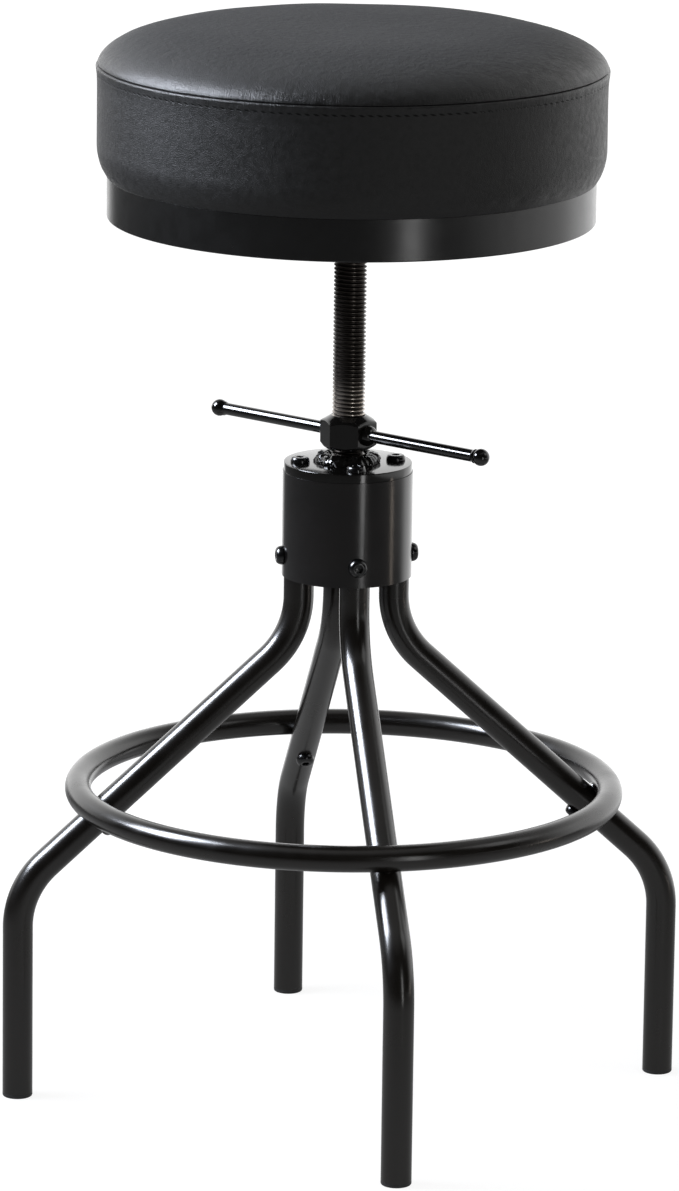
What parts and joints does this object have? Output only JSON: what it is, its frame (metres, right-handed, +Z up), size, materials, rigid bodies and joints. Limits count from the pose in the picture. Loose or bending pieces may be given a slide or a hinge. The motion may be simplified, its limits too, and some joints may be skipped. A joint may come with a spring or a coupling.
{
  "type": "bar stool",
  "caption": "Round backless bar stool with a padded seat on a central lift screw, a lock nut with a cross handle, bent tube legs and a foot ring.",
  "frame": {"origin": "centre of the footprint, on the floor under the four feet", "axes": "+Z up along the lift screw; the legs stand on +X, +Y, -X and -Y"},
  "size_m": [0.502, 0.502, 0.7897],
  "materials": {
    "leatherette": "fine-grained satin upholstery leatherette",
    "foam": "open-cell seat foam",
    "plywood": "sanded birch plywood",
    "band_enamel": "semi-gloss black enamel",
    "hidden_enamel": "satin black enamel",
    "oiled_steel": "dark oiled machined steel",
    "zinc_steel": "bright zinc plate",
    "gloss_enamel": "gloss black enamel",
    "hub_enamel": "semi-gloss black enamel",
    "black_screws": "semi-gloss black coated steel",
    "foot_plastic": "matte black moulded plastic"
  },
  "bodies": {
    "base": {"hub_tube": "hub_enamel", "hub_cap": "gloss_enamel", "threaded_bush": "oiled_steel", "bush_weld": "gloss_enamel", "cap_bolts": "black_screws", "hub_screws": "black_screws", "leg_top_plugs": "zinc_steel", "leg_inserts": "zinc_steel", "leg_front": "gloss_enamel", "leg_right": "gloss_enamel", "leg_back": "gloss_enamel", "leg_left": "gloss_enamel", "foot_ring": "gloss_enamel", "ring_bolts": "black_screws", "ring_inserts": "zinc_steel", "foot_front": "foot_plastic", "foot_right": "foot_plastic", "foot_back": "foot_plastic", "foot_left": "foot_plastic"},
    "lock": {"lock_nut": "gloss_enamel", "handle_rod_left": "gloss_enamel", "handle_rod_right": "gloss_enamel", "handle_ball_left": "gloss_enamel", "handle_ball_right": "gloss_enamel"},
    "stop": {"stop_washer": "zinc_steel"},
    "seat": {"cover_top": "leatherette", "cover_side": "leatherette", "foam_pad": "foam", "seat_board": "plywood", "seat_band": "band_enamel", "seat_pan": "hidden_enamel", "screw_flange": "hidden_enamel", "flange_weld": "hidden_enamel", "lift_screw": "oiled_steel", "flange_bolts": "zinc_steel", "tee_nuts": "zinc_steel", "board_screws": "zinc_steel", "stop_bolt": "zinc_steel"}
  },
  "joints": [
    {"name": "lock_nut_turn", "type": "hinge", "parent": "base", "child": "lock", "pos_m": [0, 0, 0.4922], "axis": [0, 0, 1], "range_deg": [-600, 0]},
    {"name": "seat_height", "type": "slide", "parent": "base", "child": "stop", "axis": [0, 0, 1], "range_m": [-0.15, 0]},
    {"name": "seat_turn", "type": "hinge", "parent": "stop", "child": "seat", "pos_m": [0, 0, 0.66], "axis": [0, 0, 1], "range_deg": [-18000, 0]}
  ],
  "couplings": [
    {"joint": "seat_height", "follows": "seat_turn", "m_per_rad": 0.00047746}
  ]
}
